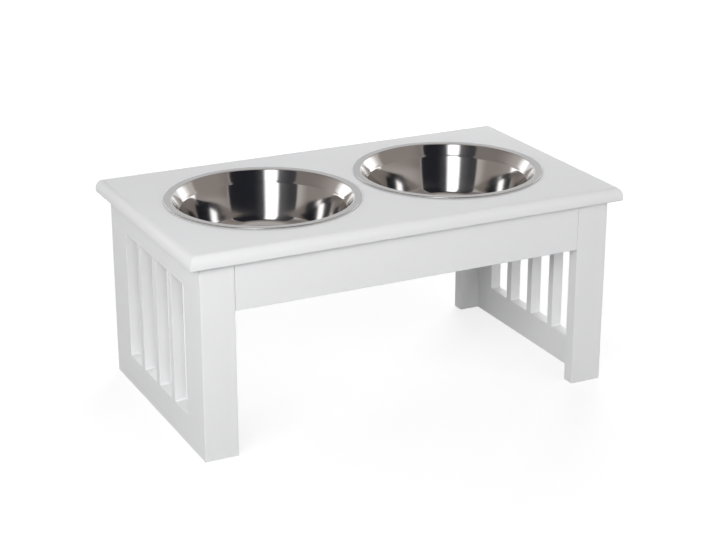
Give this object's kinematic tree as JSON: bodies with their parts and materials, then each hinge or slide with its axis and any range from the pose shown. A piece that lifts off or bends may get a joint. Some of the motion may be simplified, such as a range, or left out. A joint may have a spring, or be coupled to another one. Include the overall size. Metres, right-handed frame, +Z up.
{
  "type": "elevated pet feeder",
  "caption": "Low painted board stand with slatted ends, aprons and a moulded top edge, holding drop-in steel bowls that lift out for washing.",
  "frame": {"origin": "on the floor, under the middle of the stand", "axes": "+X along the stand, -Y the front, +Z up"},
  "size_m": [0.59, 0.335, 0.268],
  "materials": {
    "white_paint": "satin white paint on fibreboard",
    "steel": "polished inside, satin lip",
    "beech": "bare beech",
    "zinc": "bright zinc"
  },
  "bodies": {
    "stand": {"top_board": "white_paint", "left_end_panel": "white_paint", "right_end_panel": "white_paint", "front_apron": "white_paint", "back_apron": "white_paint", "front_left_leg": "white_paint", "front_right_leg": "white_paint", "back_left_leg": "white_paint", "back_right_leg": "white_paint", "front_left_leg_dowels": "beech", "front_left_apron_dowels": "beech", "front_left_top_dowel": "beech", "front_right_leg_dowels": "beech", "front_right_apron_dowels": "beech", "front_right_top_dowel": "beech", "back_left_leg_dowels": "beech", "back_left_apron_dowels": "beech", "back_left_top_dowel": "beech", "back_right_leg_dowels": "beech", "back_right_apron_dowels": "beech", "back_right_top_dowel": "beech", "front_left_apron_cam_bolt": "zinc", "front_left_top_cam_bolt": "zinc", "front_right_apron_cam_bolt": "zinc", "front_right_top_cam_bolt": "zinc", "back_left_apron_cam_bolt": "zinc", "back_left_top_cam_bolt": "zinc", "back_right_apron_cam_bolt": "zinc", "back_right_top_cam_bolt": "zinc", "front_left_apron_cam_lock": "zinc", "front_left_top_cam_lock": "zinc", "front_right_apron_cam_lock": "zinc", "front_right_top_cam_lock": "zinc", "back_left_apron_cam_lock": "zinc", "back_left_top_cam_lock": "zinc", "back_right_apron_cam_lock": "zinc", "back_right_top_cam_lock": "zinc"},
    "left_bowl": {"left_bowl": "steel"},
    "right_bowl": {"right_bowl": "steel"}
  },
  "joints": [
    {"name": "left_bowl_lift", "type": "slide", "parent": "stand", "child": "left_bowl", "axis": [0, 0, 1], "range_m": [0, 0.12]},
    {"name": "right_bowl_lift", "type": "slide", "parent": "stand", "child": "right_bowl", "axis": [0, 0, 1], "range_m": [0, 0.12]}
  ]
}
